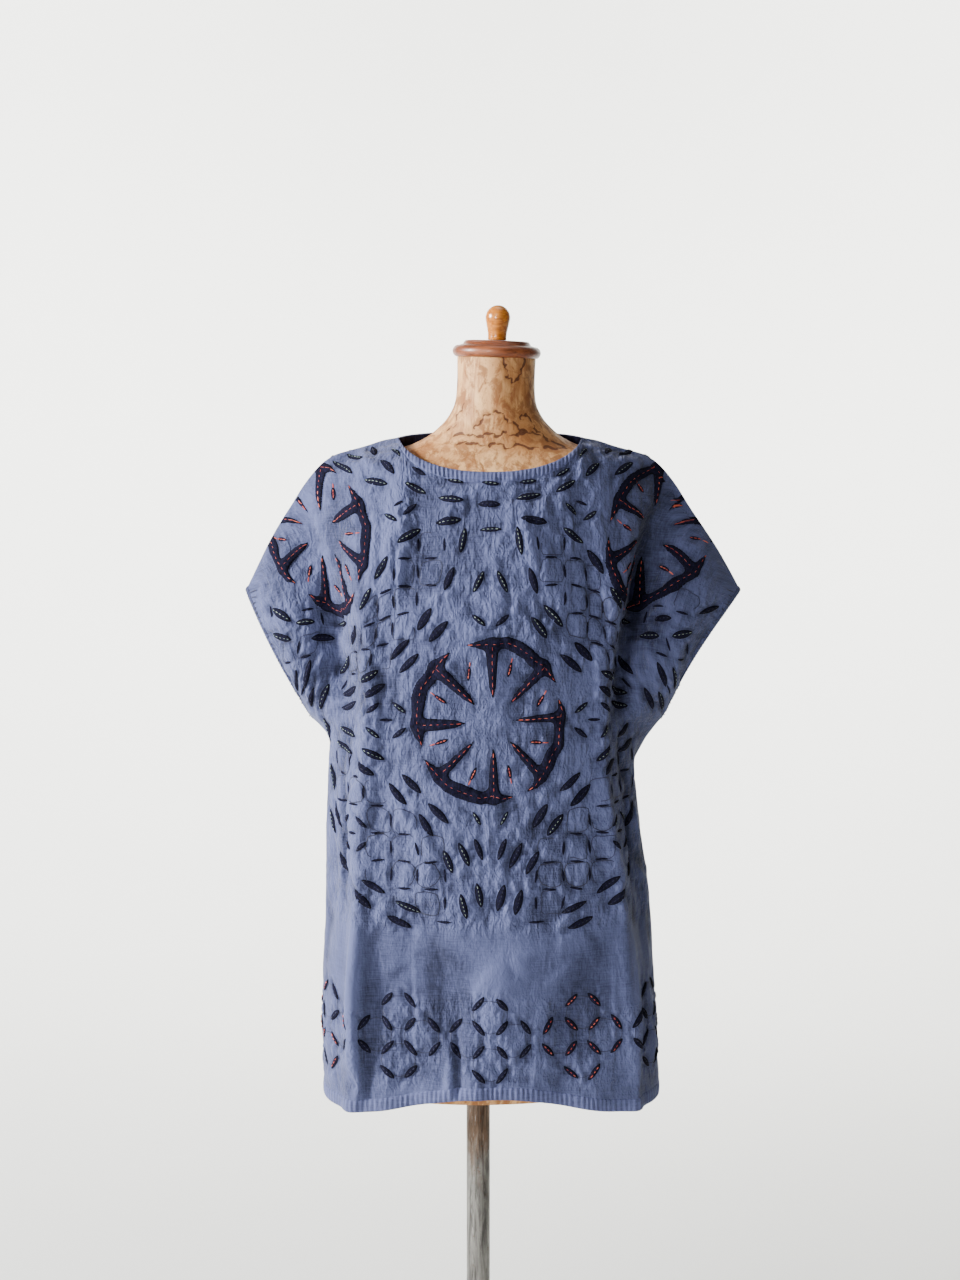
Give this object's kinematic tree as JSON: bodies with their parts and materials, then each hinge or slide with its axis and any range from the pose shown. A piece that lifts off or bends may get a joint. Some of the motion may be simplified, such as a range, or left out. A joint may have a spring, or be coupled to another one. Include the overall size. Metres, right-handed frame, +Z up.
{
  "type": "french sleeve top on a limbless dress form",
  "caption": "Boxy pullover top with cap sleeves cut in one with the body, a scooped neckline and stitched cut-work wheels and leaves, worn by a limbless dress form on a pole stand.",
  "frame": {"origin": "on the floor under the middle of the object's bounding box, which is midway between the two sleeve tips and on the stand's own fore-and-aft middle", "axes": "+Z up, -Y to the front of the garment, +X to the right of someone who looks at its front"},
  "size_m": [0.5215, 0.344, 1.4815],
  "materials": {
    "cotton": "slubby plain-weave cotton, faded indigo, matt, puckered by hand stitching",
    "inlay": "near-black navy cotton under the cut-work, matt",
    "papier_mache": "aged varnished paper over papier mache, mottled tan and brown with fine cracks",
    "cap_wood": "turned reddish-brown wood, satin varnish",
    "knob_wood": "turned orange-tan wood, glossy varnish",
    "steel": "worn steel tube, brownish at the top and scratched grey below",
    "iron": "dark painted cast iron, matt"
  },
  "bodies": {
    "root": {"front_panel": "cotton", "back_panel": "cotton", "front_hem_band": "cotton", "back_hem_band": "cotton", "front_neck_band": "cotton", "back_neck_band": "cotton", "centre_hook_1": "inlay", "centre_hook_2": "inlay", "centre_hook_3": "inlay", "centre_hook_4": "inlay", "left_hook_1": "inlay", "left_hook_4": "inlay", "right_hook_1": "inlay", "right_hook_3": "inlay", "right_hook_4": "inlay", "form_body": "papier_mache", "neck_cap": "cap_wood", "cap_knob": "knob_wood", "stand_pole": "steel", "stand_base": "iron"}
  },
  "joints": []
}
